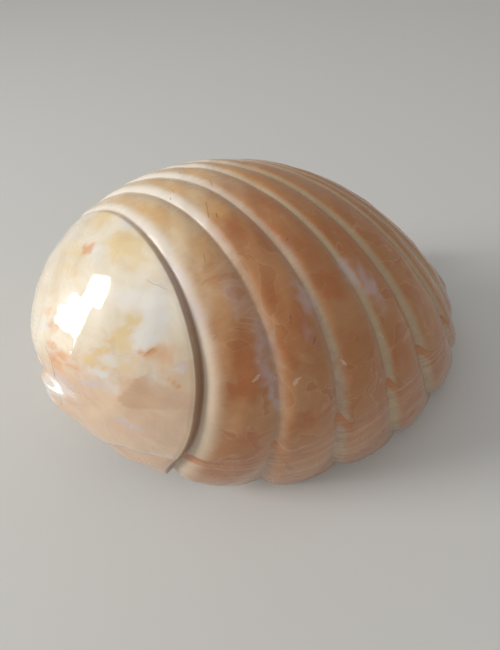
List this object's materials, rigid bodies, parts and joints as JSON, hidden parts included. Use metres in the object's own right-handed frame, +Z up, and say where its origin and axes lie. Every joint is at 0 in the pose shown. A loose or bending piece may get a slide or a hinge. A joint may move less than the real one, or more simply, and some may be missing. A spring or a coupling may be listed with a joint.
{
  "type": "melon shell",
  "caption": "Large inflated sea snail shell with carved spiral ribs, a smooth shoulder, a wide open aperture and a folded columella, lying on its lip.",
  "frame": {"origin": "middle of the bounding box at its base, on the surface that the shell lies on", "axes": "+X from the apex to the anterior end, +Y away from the outer lip, +Z up from the surface the lip rests on"},
  "size_m": [0.1954, 0.1416, 0.1007],
  "materials": {
    "polished_shell": "polished, cream to orange"
  },
  "bodies": {
    "root": {"shell": "polished_shell"}
  },
  "joints": []
}
